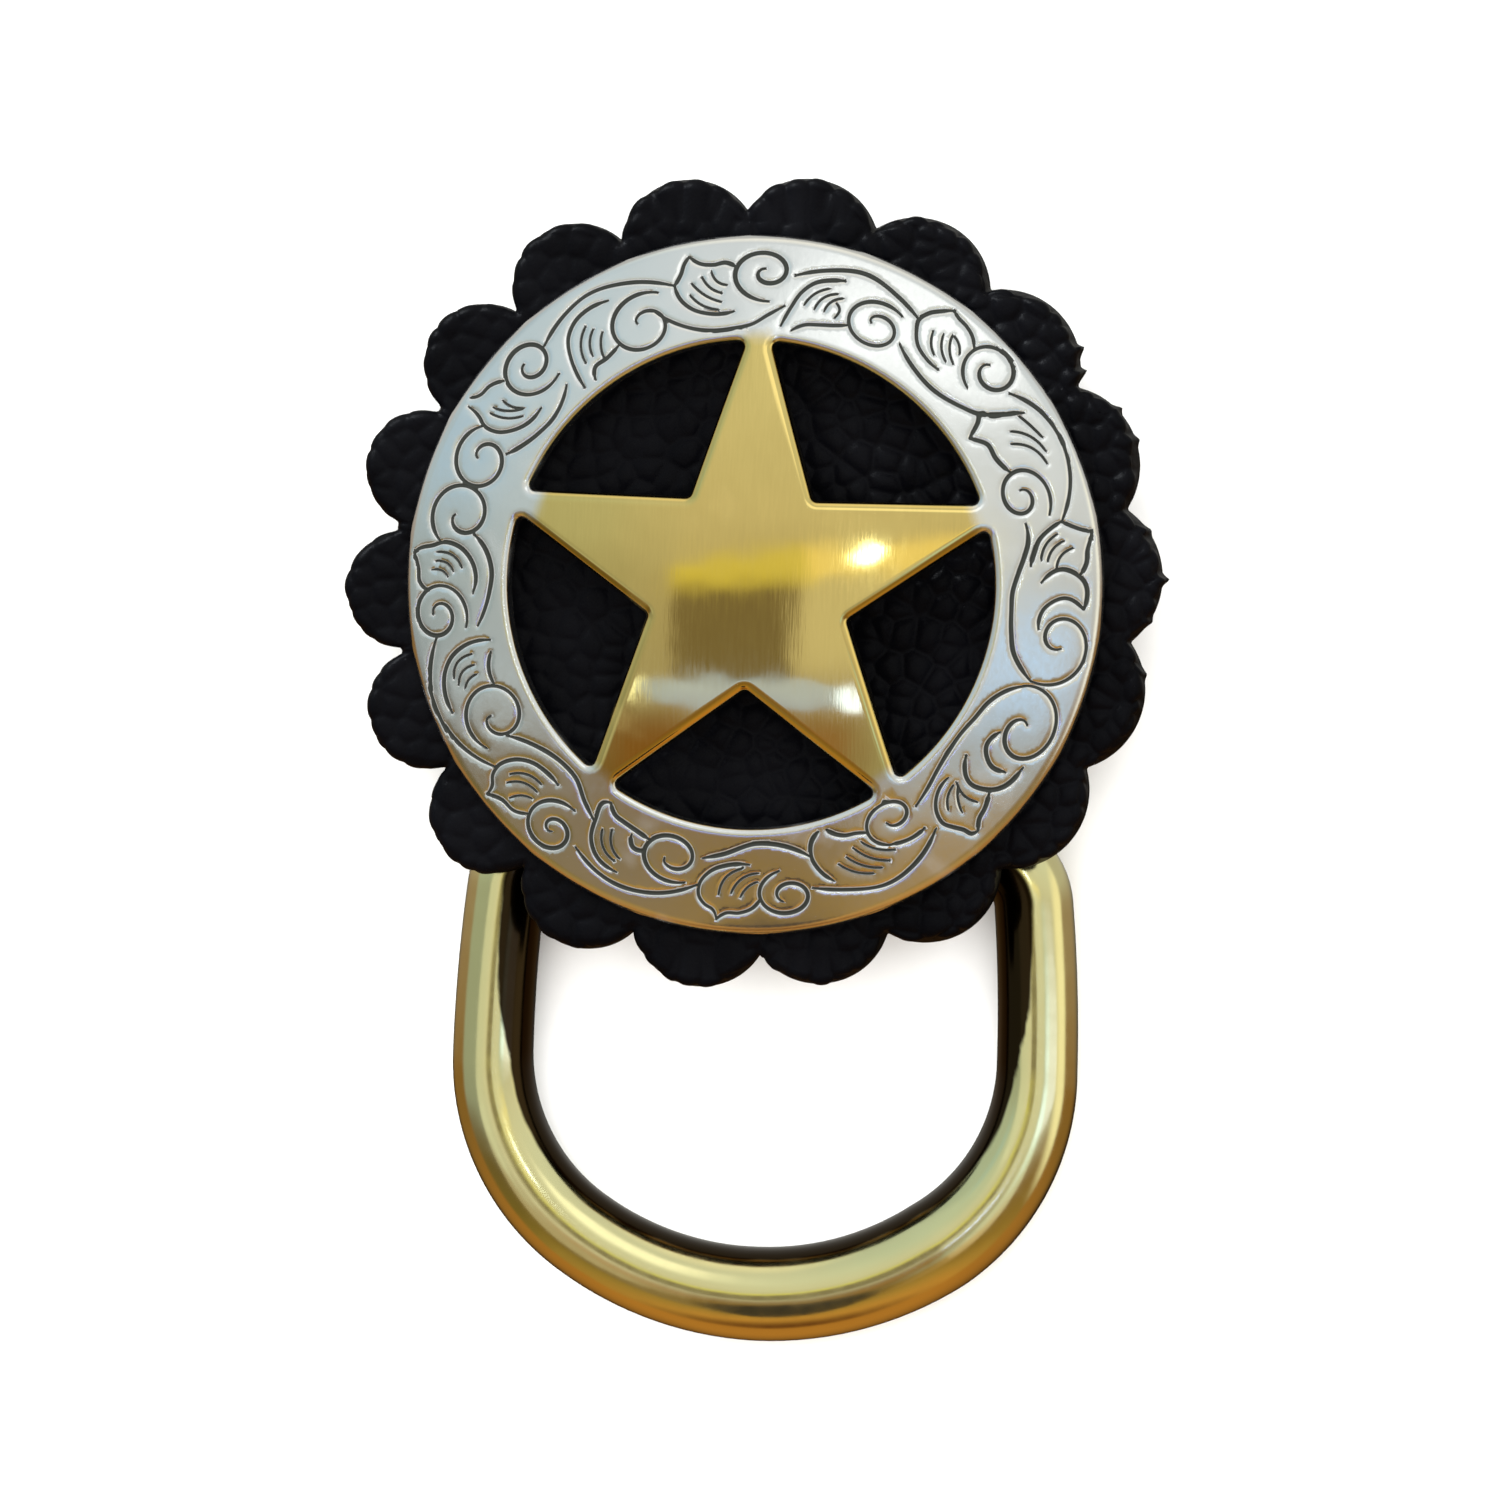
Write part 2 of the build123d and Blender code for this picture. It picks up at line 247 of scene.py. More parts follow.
leaf_veins = (
    ((8.9, 15.46), (10.2, 16.06), (12.7, 16.57)), ((11.1, 15.36), (12.1, 15.97), (14.6, 16.42)),
    ((13.1, 15.37), (13.8, 15.87), (15.8, 16.27)), ((15.6, 15.18), (15.9, 15.67), (15.0, 15.92)),
    ((33.9, 16.81), (34.8, 16.31), (36.6, 15.92)), ((35.7, 17.01), (36.7, 16.51), (39.2, 16.03)),
    ((37.0, 17.31), (38.1, 16.71), (40.4, 16.23)), ((37.4, 17.36), (38.8, 17.21), (40.2, 16.82)),
    ((56.0, 17.14), (58.4, 17.39), (61.1, 17.64)), ((57.7, 16.36), (59.9, 17.05), (63.6, 17.49)),
    ((59.9, 16.07), (61.8, 16.81), (65.8, 17.30)), ((78.8, 16.78), (80.6, 16.09), (83.0, 15.80)),
    ((80.2, 17.07), (81.4, 16.48), (83.5, 16.14)), ((81.7, 17.46), (82.8, 16.87), (85.0, 16.58)),
    ((132.1, 16.93), (132.8, 16.24), (132.1, 15.55)), ((135.2, 16.73), (134.1, 16.14), (132.2, 15.65)),
    ((136.9, 16.23), (135.5, 15.74), (132.8, 15.45)), ((149.9, 16.30), (152.5, 15.90), (154.8, 15.20)),
    ((151.7, 16.70), (154.4, 16.19), (156.7, 15.39)), ((153.4, 16.89), (156.4, 16.39), (158.7, 15.69)),
    ((155.2, 16.99), (158.2, 16.58), (160.6, 15.93)), ((177.1, 16.15), (179.0, 16.45), (180.2, 16.96)),
    ((176.8, 15.67), (179.9, 15.95), (182.0, 16.80)), ((180.1, 15.44), (183.1, 15.94), (184.3, 16.95)),
    ((204.3, 16.54), (206.4, 16.13), (207.7, 15.41)), ((205.0, 16.79), (207.7, 16.43), (209.5, 15.61)),
    ((224.1, 16.75), (225.8, 17.06), (226.8, 17.58)), ((224.4, 16.28), (227.5, 16.54), (229.2, 17.17)),
    ((224.9, 15.81), (227.9, 16.02), (230.0, 16.70)), ((248.3, 16.66), (249.5, 16.34), (250.1, 15.82)),
    ((249.5, 16.92), (251.3, 16.55), (252.0, 15.82)), ((250.8, 17.08), (253.0, 16.76), (254.2, 15.77)),
    ((269.7, 16.66), (270.6, 16.93), (270.8, 17.45)), ((270.7, 16.35), (272.0, 16.66), (272.4, 17.30)),
    ((271.5, 15.87), (273.5, 16.35), (274.0, 17.30)), ((301.2, 17.07), (302.0, 16.23), (304.3, 15.50)),
    ((302.4, 17.07), (303.4, 16.34), (305.6, 15.71)), ((304.4, 16.86), (304.6, 16.23), (305.6, 15.76)),
    ((321.3, 15.14), (322.3, 15.92), (325.0, 16.69)), ((323.3, 15.20), (324.2, 15.82), (326.0, 16.33)),
    ((325.1, 14.79), (325.9, 15.40), (327.3, 15.92)), ((346.1, 16.03), (347.9, 15.42), (351.2, 15.02)),
    ((346.8, 16.64), (348.8, 15.93), (351.9, 15.43)), ((348.9, 16.85), (350.2, 16.24), (351.9, 15.94)),
    ((350.7, 17.05), (351.6, 16.54), (353.0, 16.34)),
)
cut_half_width = 0.115
vein_half_width = 0.09
cut_end_share = 0.6
cut_depth = 0.1
cut_roundness = 0.7
cut_step = 0.11
measure_step = 0.02
shoulder_reach = 0.22
shoulder_depth = 0.022


def scroll_line(clock, radius, inner, outer, start, sweep, opening, wideness, points=90):
    """One scroll, from its eye outwards."""
    turn = radians(clock)
    share = np.linspace(0, 1, points)
    bearing = np.radians(start + sweep * share)
    reach = inner + (outer - inner) * share**opening
    across, outward = reach * wideness * np.cos(bearing), reach * np.sin(bearing)
    x = radius * sin(turn) + across * cos(turn) + outward * sin(turn)
    y = radius * cos(turn) - across * sin(turn) + outward * cos(turn)
    return even_steps(np.stack((x, y), axis=1), cut_step)


cuts = [(scroll_line(*scroll), cut_half_width) for scroll in vine_scrolls]
cuts += [(smooth_line(clock_points(stem), cut_step), cut_half_width) for stem in vine_stems]
cuts += [(smooth_line(clock_points(edge), cut_step), cut_half_width) for edge in leaf_edges]
cuts += [(smooth_line(clock_points(vein), cut_step), vein_half_width) for vein in leaf_veins]

# A cut tapers a little towards its two ends
fine_lines = []
for line, half_width in cuts:
    fine = even_steps(line, measure_step)
    share = np.linspace(0, 1, len(fine))
    taper = cut_end_share + (1 - cut_end_share) * np.clip(np.sin(pi * share) * 3, 0, 1) ** 0.5
    fine_lines.append(np.column_stack((fine, half_width * taper)))
fine_cuts = np.concatenate(fine_lines)
nearest_cut = search_tree(fine_cuts)


def cut_reach(x, y):
    """How far a point is from the nearest cut's middle, and that cut's half width there."""
    _, i, distance = nearest_cut.find((x, y, 0))
    return distance, fine_cuts[i][2]


def depth_in_star(points):
    """How far each point lies inside the star's outline, negative outside it."""
    clock, radius = clock_and_radius(points)
    from_arm = np.radians((clock + star_pitch / 2) % star_pitch - star_pitch / 2)
    edge = inner_corner_x - arm_narrowing * (radius * np.cos(from_arm) - inner_corner_y)
    return (edge - radius * np.abs(np.sin(from_arm))) / hypot(1, arm_narrowing)


def gap_row(middle_clock, outset, step=0.13, inner_points=4, tip_points=6):
    """A closed row of points round a gap, outset from its outline into the metal.

    Half of it is laid along the gap's right side, from its inner corner to the middle of its arc.
    """
    straight_reach = inner_corner_x + arm_narrowing * inner_corner_y
    straight_reach += gap_corner_round * hypot(1, arm_narrowing)
    ring_reach = opening_radius - gap_corner_round
    share = 1 + arm_narrowing**2
    tip_along = (
        straight_reach * arm_narrowing + sqrt(ring_reach**2 * share - straight_reach**2)
    ) / share
    tip_bearing = half_pitch - atan((straight_reach - arm_narrowing * tip_along) / tip_along)
    inner = np.array((0, straight_reach / (tan(half_pitch) + arm_narrowing) / cos(half_pitch)))
    tip = ring_reach * np.array((sin(tip_bearing), cos(tip_bearing)))
    edge = (tip - inner) / np.hypot(*(tip - inner))
    edge_bearing = np.arctan2(-edge[0], edge[1])
    places = [inner] * inner_points
    bearings = list(np.linspace(-pi / 2, edge_bearing, inner_points))
    edge_steps = ceil(np.hypot(*(tip - inner)) / step)
    places += [inner + (tip - inner) * k / edge_steps for k in range(1, edge_steps)]
    bearings += [edge_bearing] * (edge_steps - 1)
    places += [tip] * tip_points
    bearings += list(np.linspace(edge_bearing, pi / 2 - tip_bearing, tip_points))
    arc_steps = ceil(tip_bearing * ring_reach / step)
    for k in range(1, arc_steps + 1):
        bearing = pi / 2 - tip_bearing * (1 - k / arc_steps)
        places.append(ring_reach * np.array((cos(bearing), sin(bearing))))
        bearings.append(bearing)
    normals = np.stack((np.cos(bearings), np.sin(bearings)), axis=1)
    half = np.array(places) + normals * (gap_corner_round + outset)
    row = np.concatenate((half, half[-2:0:-1] * (-1, 1)))
    turn = radians(middle_clock)
    return row @ np.array(((cos(turn), -sin(turn)), (sin(turn), cos(turn))))


def circle_row(radius, points=760):
    """A closed row of points round the axis."""
    bearing = np.linspace(0, 2 * pi, points, endpoint=False)
    return radius * np.stack((np.cos(bearing), np.sin(bearing)), axis=1)


def ring_net(radii, density):
    """Loose points on rings, as many on each as its radius asks for."""
    return np.concatenate([circle_row(radius, ceil(density * radius)) for radius in radii])


def round_drop(inset, radius):
    """How far a rounded edge has dropped at a distance inside it."""
    return radius - np.sqrt(np.maximum(radius**2 - (radius - np.minimum(inset, radius)) ** 2, 0))


# The face is laid out flat. Rows follow the rim, the gaps and the cuts, and between them the
# points stand wider apart, on rings.
edge_insets = (0, 0.02, 0.08, 0.2, 0.36, 0.65, 1, 1.25)
row_margin = 0.06
# Beside a cut: how far from its middle as a share of its half width, and the room a point needs
beside_cut = ((0.4, 0.034), (0.75, 0.04), (1.05, 0.045), (1.7, 0.08))
beside_cut_share = 0.85
fine_spacing, fine_start, fine_end = 0.15, 0.16, 0.5
wide_spacing, wide_start, wide_end = 0.3, 0.34, rim_radius
ring_room_share = 0.75
gap_clocks = [star_pitch * (k + 0.5) for k in range(star_points)]
rim = circle_row(rim_radius)
gaps = [gap_row(clock, 0) for clock in gap_clocks]
rows = []
gap_insets = [opening_round] * len(rim) + [0.0] * sum(len(gap) for gap in gaps)
for inset in edge_insets[1:]:
    rows.append(circle_row(rim_radius - inset * rim_round))
    gap_insets += [opening_round] * len(rows[-1])
    for clock in gap_clocks:
        rows.append(gap_row(clock, inset * opening_round))
        gap_insets += [inset * opening_round] * len(rows[-1])

taken = {}
cell = 0.1


def is_clear(x, y, room):
    """Whether no point stands within room of this place; if so, the place is taken."""
    i, j = round(x / cell), round(y / cell)
    span = ceil(room / cell)
    for near_i in range(i - span, i + span + 1):
        for near_j in range(j - span, j + span + 1):
            for other_x, other_y in taken.get((near_i, near_j), ()):
                if hypot(x - other_x, y - other_y) < room:
                    return False
    taken.setdefault((i, j), []).append((x, y))
    return True


lines = [line for line, _ in cuts]
for line in lines:
    for x, y in line:
        taken.setdefault((round(x / cell), round(y / cell)), []).append((x, y))
loose = []
for line, half_width in cuts:
    along = np.gradient(line, axis=0)
    across = np.stack((along[:, 1], -along[:, 0]), axis=1) / np.hypot(*along.T)[:, None]
    for share, room in beside_cut:
        for side in (-1, 1):
            for x, y in line + side * share * half_width * across:
                distance, _ = cut_reach(x, y)
                if distance > beside_cut_share * share * half_width and is_clear(x, y, room):
                    loose.append((x, y))
for spacing, start, end in ((fine_spacing, fine_start, fine_end), (wide_spacing, wide_start, wide_end)):
    for ring in range(1, int(rim_radius / spacing)):
        radius = ring * spacing
        for x, y in circle_row(radius, ceil(2 * pi * radius / spacing)):
            distance, _ = cut_reach(x, y)
            if start <= distance <= end and is_clear(x, y, ring_room_share * spacing):
                loose.append((x, y))
loose = np.array(loose)
_, radius = clock_and_radius(loose)
clear_of_edge = edge_insets[-1] * opening_round + row_margin
clear_of_rim = rim_radius - edge_insets[-1] * rim_round - row_margin
in_ring = (radius > opening_radius + clear_of_edge) & (radius < clear_of_rim)
in_star = (depth_in_star(loose) > clear_of_edge) & (radius < opening_radius + 1)
loose = loose[in_ring | in_star]

concho_mesh = bmesh.new()
oxide = concho_mesh.verts.layers.float.new("oxide")
gilding = concho_mesh.verts.layers.float.new("gilding")
face_verts = fill_flat(concho_mesh, rim, gaps, rows, lines, loose)
inset_of = {}
for vert, inset in zip(face_verts, gap_insets):
    inset_of[vert] = min(inset, inset_of.get(vert, opening_round))
for vert in concho_mesh.verts:
    x, y = vert.co.x, vert.co.y
    radius = hypot(x, y)
    distance, half_width = cut_reach(x, y)
    groove = max(0.0, 1 - (distance / half_width) ** 2)
    shoulder = np.exp(-((distance / shoulder_reach) ** 2))
    vert[oxide] = groove
    drop = round_drop(rim_radius - radius, rim_round)
    drop += round_drop(inset_of.get(vert, opening_round), opening_round)
    vert.co.z = dome_centre_z + sqrt(dome_radius**2 - radius**2) - drop - cut_depth * groove**cut_roundness
    vert.co.z -= shoulder_depth * shoulder


def wall_below(mesh, upper, height_at, radius=None):
    """A wall down from a closed row of vertices. Returns the row at its foot."""
    ring = [mesh.edges.get(pair) for pair in zip(upper, upper[1:] + upper[:1])]
    extruded = bmesh.ops.extrude_edge_only(mesh, edges=ring)["geom"]
    feet = [part for part in extruded if isinstance(part, bmesh.types.BMVert)]
    tops = set(upper)
    foot_of = {}
    for foot in feet:
        for edge in foot.link_edges:
            if edge.other_vert(foot) in tops:
                foot_of[edge.other_vert(foot)] = foot
        if radius:
            foot.co *= radius / hypot(foot.co.x, foot.co.y)
        foot.co.z = height_at(hypot(foot.co.x, foot.co.y))
    return [foot_of[top] for top in upper]


def hollow_height(radius):
    """The height of the hollowed underside."""
    return dome_centre_z + sqrt(hollow_radius**2 - radius**2)


# The walls go down from the face. The rim's ends in a flat ring that sits on the leather, and the
# underside is hollowed to an even wall.
under_step, under_reach, under_density, under_margin = 0.9, 18, 7, 0.3
weld_distance = 1e-4
rim_foot = wall_below(concho_mesh, face_verts[:len(rim)], lambda radius: rim_bottom)
hollow_edge = wall_below(concho_mesh, rim_foot, lambda radius: rim_bottom, hollow_rim_radius)
under_rim = np.array([vert.co.xy for vert in hollow_edge])
under_gaps = []
first = len(rim)
for gap in gaps:
    foot = wall_below(concho_mesh, face_verts[first:first + len(gap)], hollow_height)
    under_gaps.append(np.array([vert.co.xy for vert in foot]))
    first += len(gap)
under_points = ring_net(np.arange(under_step, under_reach, under_step), under_density)
_, radius = clock_and_radius(under_points)
clear = (depth_in_star(under_points) > under_margin) & (radius < opening_radius + 1)
clear |= radius > opening_radius + under_margin
under_verts = fill_flat(concho_mesh, under_rim, under_gaps, [], [], under_points[clear])
for vert in set(under_verts):
    vert.co.z = max(rim_bottom, hollow_height(hypot(vert.co.x, vert.co.y)))
bmesh.ops.remove_doubles(concho_mesh, verts=concho_mesh.verts, dist=weld_distance)

# The post is cast with the star, and bored for the screw
post_top = hollow_height(post_radius) + post_overlap
bore_end = post_bottom + post_bore_depth
profile = [(0, bore_end), (post_bore_radius - post_bevel, bore_end)]
profile += [(post_bore_radius, bore_end - post_bevel), (post_bore_radius, post_bottom + bore_bevel)]
profile += [(post_bore_radius + bore_bevel, post_bottom), (post_radius - post_bevel, post_bottom)]
profile += [(post_radius, post_bottom + post_bevel), (post_radius, post_top), (0, post_top)]
post_verts = [concho_mesh.verts.new((across, 0, height)) for across, height in profile]
post_edges = [concho_mesh.edges.new(pair) for pair in zip(post_verts, post_verts[1:])]
bmesh.ops.spin(
    concho_mesh, geom=post_verts + post_edges, cent=(0, 0, 0), axis=(0, 0, 1), angle=2 * pi, steps=64,
    use_merge=True,
)
bmesh.ops.remove_doubles(concho_mesh, verts=concho_mesh.verts, dist=weld_distance)
bmesh.ops.recalc_face_normals(concho_mesh, faces=concho_mesh.faces)

# Where the gold stops on each of the star's points, as the masking left it
gold_ends = (13.5, 12.7, 12.6, 13.0, 12.3)
gold_fade = 0.9
gold_margin = 0.3
gold_edge = 0.2
for vert in concho_mesh.verts:
    place = np.array([vert.co.xy])
    radius = hypot(vert.co.x, vert.co.y)
    arm = round((np.degrees(np.arctan2(vert.co.x, vert.co.y)) % 360) / star_pitch) % star_points
    in_star = min(1, max(0, (depth_in_star(place)[0] + gold_margin) / gold_edge))
    reach = min(1, max(0, (gold_ends[arm] + gold_fade / 2 - radius) / gold_fade))
    vert[gilding] = in_star * reach * reach * (3 - 2 * reach)


def add_object(name, data):
    """A new object in the scene."""
    added = bpy.data.objects.new(name, data)
    bpy.context.scene.collection.objects.link(added)
    return added


def finish_mesh(mesh, name, smooth_angle=None):
    """Brings a bmesh in millimetres to a metre-sized object in the scene, with smooth faces."""
    bmesh.ops.transform(mesh, matrix=Matrix.Scale(0.001, 4), verts=mesh.verts)
    data = bpy.data.meshes.new(name)
    mesh.to_mesh(data)
    mesh.free()
    data.shade_smooth()
    if smooth_angle:
        data.set_sharp_from_angle(angle=radians(smooth_angle))
    return add_object(name, data)


concho = finish_mesh(concho_mesh, "star_casting", 50)
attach(concho, "base")
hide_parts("concho")


def set_inputs(tree, node, inputs):
    """Sets a node's inputs, or links them where an output is given."""
    for name, value in inputs.items():
        if isinstance(value, bpy.types.NodeSocket):
            tree.links.new(value, node.inputs[name])
        else:
            node.inputs[name].default_value = value


def add_node(tree, kind, inputs=None, **settings):
    """A node with its settings made and its inputs set or linked."""
    node = tree.nodes.new(kind)
    for name, value in settings.items():
        setattr(node, name, value)
    set_inputs(tree, node, inputs or {})
    return node


def mix_colours(tree, share, first, second, blend_type="MIX"):
    """The colour between two colours."""
    inputs = {0: share, 6: first, 7: second}
    return add_node(tree, "ShaderNodeMix", inputs, data_type="RGBA", blend_type=blend_type).outputs[2]


def remap(tree, value, from_low, from_high, to_low=0.0, to_high=1.0, smooth=False):
    """A value brought from one range to another and held there."""
    limits = {"From Min": from_low, "From Max": from_high, "To Min": to_low, "To Max": to_high}
    kind = "SMOOTHSTEP" if smooth else "LINEAR"
    node = add_node(tree, "ShaderNodeMapRange", {"Value": value, **limits}, interpolation_type=kind)
    return node.outputs["Result"]


def arithmetic(tree, operation, first, second=0.0):
    """The output of a Math node."""
    return add_node(tree, "ShaderNodeMath", {0: first, 1: second}, operation=operation).outputs[0]


def mix_values(tree, share, first, second):
    """The value between two values."""
    return add_node(tree, "ShaderNodeMix", {0: share, 2: first, 3: second}, data_type="FLOAT").outputs[0]


def noise(tree, place, scale, detail, roughness=0.5):
    """The value of a noise pattern."""
    inputs = {"Vector": place, "Scale": scale, "Detail": detail, "Roughness": roughness}
    return add_node(tree, "ShaderNodeTexNoise", inputs).outputs["Fac"]


def bumped(tree, height, strength, distance, under=None):
    """The normal of a surface with a fine relief, laid over the coarser one where one is given."""
    inputs = {"Strength": strength, "Distance": distance, "Height": height}
    if under is not None:
        inputs["Normal"] = under
    return add_node(tree, "ShaderNodeBump", inputs).outputs["Normal"]


def new_material(name):
    """A new material with its node tree, its shader and the object's own coordinates."""
    material = bpy.data.materials.new(name)
    material.use_nodes = True
    tree = material.node_tree
    place = add_node(tree, "ShaderNodeTexCoord").outputs["Object"]
    return material, tree, tree.nodes["Principled BSDF"], place


# Satin grain: long fine scratches from the brush, and cloudy patches where it pressed harder. The
# stretch says how the scratches run, and each metal places the group with its own.
satin_grain = bpy.data.node_groups.new("satin_grain", "ShaderNodeTree")
for name, in_out, kind in (
    ("Place", "INPUT", "Vector"), ("Stretch", "INPUT", "Vector"),
    ("Scratches", "OUTPUT", "Float"), ("Patches", "OUTPUT", "Float"),
):
    satin_grain.interface.new_socket(name, in_out=in_out, socket_type="NodeSocket" + kind)
grain_in = satin_grain.nodes.new("NodeGroupInput")
grain_out = satin_grain.nodes.new("NodeGroupOutput")
stretched = add_node(
    satin_grain, "ShaderNodeVectorMath", {0: grain_in.outputs["Place"], 1: grain_in.outputs["Stretch"]},
    operation="MULTIPLY",
)
scratches = noise(satin_grain, stretched.outputs[0], 1.0, 3.0, roughness=0.6)
patches = noise(satin_grain, grain_in.outputs["Place"], 260.0, 2.0)
set_inputs(satin_grain, grain_out, {"Scratches": scratches, "Patches": patches})


def place_grain(tree, place, stretch):
    """The satin grain's scratches and patches, for one metal."""
    node = add_node(tree, "ShaderNodeGroup", node_tree=satin_grain)
    set_inputs(tree, node, {"Place": place, "Stretch": stretch})
    return node.outputs["Scratches"], node.outputs["Patches"]


silver_colour = (0.84, 0.85, 0.85, 1)
gold_colour = (0.79, 0.61, 0.213, 1)
oxide_colour = (0.020, 0.022, 0.019, 1)
dulled_tint = (0.5, 0.48, 0.45, 1)
brushed_tint = (0.72, 0.68, 0.55, 1)
star_stretch = (9500, 600, 600)
ring_stretch = (3800, 2600, 2600)
oxide_roughness = 0.55
plate, tree, shader, place = new_material("satin_silver_and_gold")
gilded = add_node(tree, "ShaderNodeAttribute", attribute_name="gilding").outputs["Fac"]
blackened = add_node(tree, "ShaderNodeAttribute", attribute_name="oxide").outputs["Fac"]
star_scratches, patches_tone = place_grain(tree, place, star_stretch)
ring_scratches, _ = place_grain(tree, place, ring_stretch)
wiped = arithmetic(tree, "ADD", blackened, remap(tree, patches_tone, 0.3, 0.7, -0.12, 0.08))
black_mask = remap(tree, wiped, 0.03, 0.40, smooth=True)
metal = mix_colours(tree, gilded, silver_colour, gold_colour)
dulled = remap(tree, patches_tone, 0.3, 0.7, 0.0, 0.12)
metal = mix_colours(tree, dulled, metal, dulled_tint, "MULTIPLY")
brushed = arithmetic(tree, "MULTIPLY", remap(tree, star_scratches, 0.65, 0.35, 0.0, 0.12), gilded)
metal = mix_colours(tree, brushed, metal, brushed_tint, "MULTIPLY")
star_marks = arithmetic(tree, "MULTIPLY", star_scratches, 0.3)
marks = mix_values(tree, gilded, ring_scratches, star_marks)
ring_gloss = remap(tree, ring_scratches, 0.3, 0.7, 0.19, 0.25)
star_gloss = remap(tree, star_scratches, 0.3, 0.7, 0.05, 0.10)
gloss = mix_values(tree, gilded, ring_gloss, star_gloss)
wavy = bumped(tree, noise(tree, place, 330.0, 1.0), 0.22, 0.0001)
set_inputs(tree, shader, {
    "Base Color": mix_colours(tree, black_mask, metal, oxide_colour),
    "Metallic": remap(tree, black_mask, 0, 1, 1.0, 0.0),
    "Specular IOR Level": 0.2,
    "Roughness": mix_values(tree, black_mask, gloss, oxide_roughness),
    "Normal": bumped(tree, marks, 0.2, 0.00002, wavy),
})
concho.data.materials.append(plate)

# The rosette is one piece of black pebble-grained leather, 3 mm thick, cut with eighteen scallops
# and dyed round its edge. Its grain is pressed in, so the pebbles run on over the rounded edge. It
# is held between the casting and the clip by the screw.
leather_top = 9.15
leather_thickness = 3.0
leather_edge_round = 0.7
leather_hole_radius = 2.8
scallops = 18
scallop_centre = 18.55
scallop_centre_lean = 0.72
scallop_radius = 3.86
scallop_radius_lean = 0.6
scallop_unevenness = 0.06
scallop_half_angle = 0.5
notch_softness = 0.07
disc_radius = 19.85
outline_limit = 22
rosette_turn = 2.9
rosette_shift = (-0.2, 0.1)
pebble_size = 1.4
pebble_jitter = 0.26
pebble_unevenness = 0.03
pebble_reach = 0.75 * pebble_size
crease_reach = 0.85 * pebble_size
crease_sharpness = 2.2
crease_depth = 0.36
grain_strength = 0.78
grain_strength_lean = 0.27
grain_lean_reach = 12
# The nibs that the knife left at the edge: clock angle and height
nibs = (
    (52.6, 0.4), (55.6, 0.5), (62.6, 0.3), (67.7, 0.22),
    (80.5, 0.2), (87.7, 0.42), (93.8, 0.2), (101.2, 0.2),
)
nib_half_width = 1.1
nib_sharpness = 1.4


def outline_radius(clock):
    """The scalloped outline: the left scallops are rounder and the right ones flatter, as they were cut."""
    clock = np.asarray(clock, float)
    reach = np.full(clock.shape, np.exp((disc_radius - outline_limit) / notch_softness))
    for k in range(scallops):
        middle = (k + 0.5) * 360 / scallops - rosette_turn
        off = np.radians((clock - middle + 180) % 360 - 180)
        lean = sin(radians(middle))
        centre = scallop_centre - scallop_centre_lean * lean
        radius = scallop_radius + scallop_radius_lean * lean + scallop_unevenness * sin(5.3 * k)
        under = radius**2 - (centre * np.sin(off)) ** 2
        lobe = centre * np.cos(off) + np.sqrt(np.maximum(under, 0))
        lobe = np.where((under > 0) & (np.abs(off) < scallop_half_angle), lobe, 0)
        reach += np.exp((lobe - outline_limit) / notch_softness)
    reach = outline_limit + notch_softness * np.log(reach)
    for nib_clock, height in nibs:
        off = (clock - nib_clock + 180) % 360 - 180
        reach += height * np.maximum(0, 1 - np.abs(off) / nib_half_width) ** nib_sharpness
    return reach


def outline_row(inset, points=1200, steepest=1.6):
    """A closed row of points, inset from the scalloped outline."""
    clock = np.linspace(0, 360, points, endpoint=False)
    reach = outline_radius(clock)
    slope = np.gradient(reach, radians(360 / points))
    reach = reach - inset * np.minimum(np.hypot(1, slope / reach), steepest)
    row = clock_points(np.stack((clock, reach), axis=1))
    return row + np.array(rosette_shift)


# The middle of each pebble, on a jittered net of even triangles
net_reach = 23
net_row = 0.866
random_places = np.random.default_rng(7)
net = []
for j in range(int(2 * net_reach / (pebble_size * net_row)) + 1):
    for i in range(int(2 * net_reach / pebble_size) + 2):
        across = -net_reach + (i + 0.5 * (j % 2)) * pebble_size
        net.append((across, -net_reach + j * pebble_size * net_row))
seeds = np.array(net) + random_places.normal(0, pebble_jitter * pebble_size, (len(net), 2))
seed_heights = random_places.uniform(-1, 1, len(seeds))
pebble_net = search_tree(seeds)


def pebble_drop(x, y):
    """How far the grain lies below the leather's highest level: deep in the creases between pebbles."""
    (_, i, first), (_, _, second) = pebble_net.find_n((x, y, 0), 2)
    rise = min(1, (second - first) / crease_reach)
    slope = min(1, (first / pebble_reach) ** 2)
    strength = grain_strength + grain_strength_lean * min(1, max(-1, x / grain_lean_reach))
    crease = crease_depth * (0.5 * (1 - rise) ** crease_sharpness + 0.5 * slope)
    return strength * (crease + pebble_unevenness * (1 + seed_heights[i]))


# Rows of points follow the rounded edge, each inset by a share of its radius
edge_shares = (0, 0.04, 0.15, 0.3, 0.5, 0.75, 1)
outline = outline_row(0)
hole = circle_row(leather_hole_radius, 60)
rows = [outline_row(share * leather_edge_round) for share in edge_shares[1:]]
inset_shares = [0.0] * len(outline) + [1.0] * len(hole)
for share in edge_shares[1:]:
    inset_shares += [share] * len(outline)

